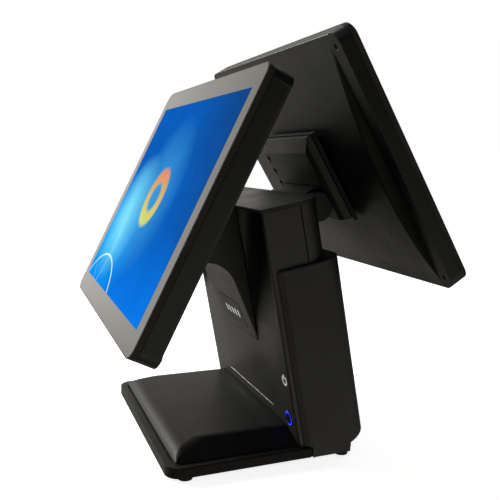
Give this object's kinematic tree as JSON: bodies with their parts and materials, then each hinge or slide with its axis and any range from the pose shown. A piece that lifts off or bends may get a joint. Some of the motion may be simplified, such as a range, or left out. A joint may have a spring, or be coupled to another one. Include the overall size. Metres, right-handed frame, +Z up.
{
  "type": "pos touchscreen terminal",
  "caption": "Black point-of-sale terminal with a tilting operator touchscreen, a tilting customer display behind it, a leaning column and a flat weighted base.",
  "frame": {"origin": "centre of the bounding box in plan, at the table under the rubber feet", "axes": "+X across the screens, -Y towards the operator, +Y towards the customer, +Z up"},
  "size_m": [0.341, 0.3377, 0.4188],
  "materials": {
    "case": "fine satin texture, black",
    "housing": "satin black display housing",
    "screen_glass": "glossy black cover glass",
    "lcd": "lit picture panel",
    "frame": "black mid frame",
    "steel": "zinc plated sheet steel",
    "painted_steel": "black powder coat",
    "shaft_steel": "ground steel",
    "screw_black": "black oxide",
    "rubber": "soft black",
    "label": "black printed label",
    "trim": "silver line",
    "ring": "lit blue ring",
    "button": "glossy black",
    "board": "green circuit board",
    "connector": "black connector bodies",
    "weight": "plain ballast block",
    "brass": "plain",
    "sink": "plain extruded",
    "washer": "black acetal"
  },
  "bodies": {
    "stand": {"base_plate": "painted_steel", "base_cover": "case", "base_weight": "weight", "base_feet": "rubber", "base_screws": "screw_black", "column_shell": "case", "column_chassis": "steel", "top_plate": "case", "rear_cap": "case", "rear_cover": "case", "rear_cover_screws": "screw_black", "neck_shell": "case", "neck_spine": "steel", "label_plate": "label", "trim_line": "trim", "power_bezel": "button", "light_ring": "ring", "power_board": "board", "computer_board": "board", "heat_sink": "sink", "board_standoffs": "brass", "port_panel": "steel", "port_sockets": "connector", "main_shaft": "shaft_steel", "main_washers": "washer", "guest_cheeks": "painted_steel", "guest_shaft": "shaft_steel", "guest_washers": "washer"},
    "main_display": {"main_glass": "screen_glass", "main_panel": "lcd", "main_frame": "frame", "main_housing": "housing", "main_board": "board", "main_mount": "painted_steel", "main_screws": "screw_black"},
    "customer_display": {"guest_glass": "screen_glass", "guest_panel": "lcd", "guest_frame": "frame", "guest_back": "housing", "guest_board": "board", "guest_mount": "painted_steel", "guest_bracket": "housing", "guest_arm": "painted_steel", "guest_screws": "screw_black"},
    "power_button": {"power_cap": "button"}
  },
  "joints": [
    {"name": "main_tilt", "type": "hinge", "parent": "stand", "child": "main_display", "pos_m": [0, -0.07381, 0.20905], "axis": [1, 0, 0], "range_deg": [-12, 25]},
    {"name": "customer_tilt", "type": "hinge", "parent": "stand", "child": "customer_display", "pos_m": [0, 0.05928, 0.24871], "axis": [1, 0, 0], "range_deg": [-25, 5]},
    {"name": "power_press", "type": "slide", "parent": "stand", "child": "power_button", "axis": [0, 0.9823, 0.1874], "range_m": [0, 0.0012], "stiffness_N_per_m": 800, "springref_m": -0.001}
  ]
}
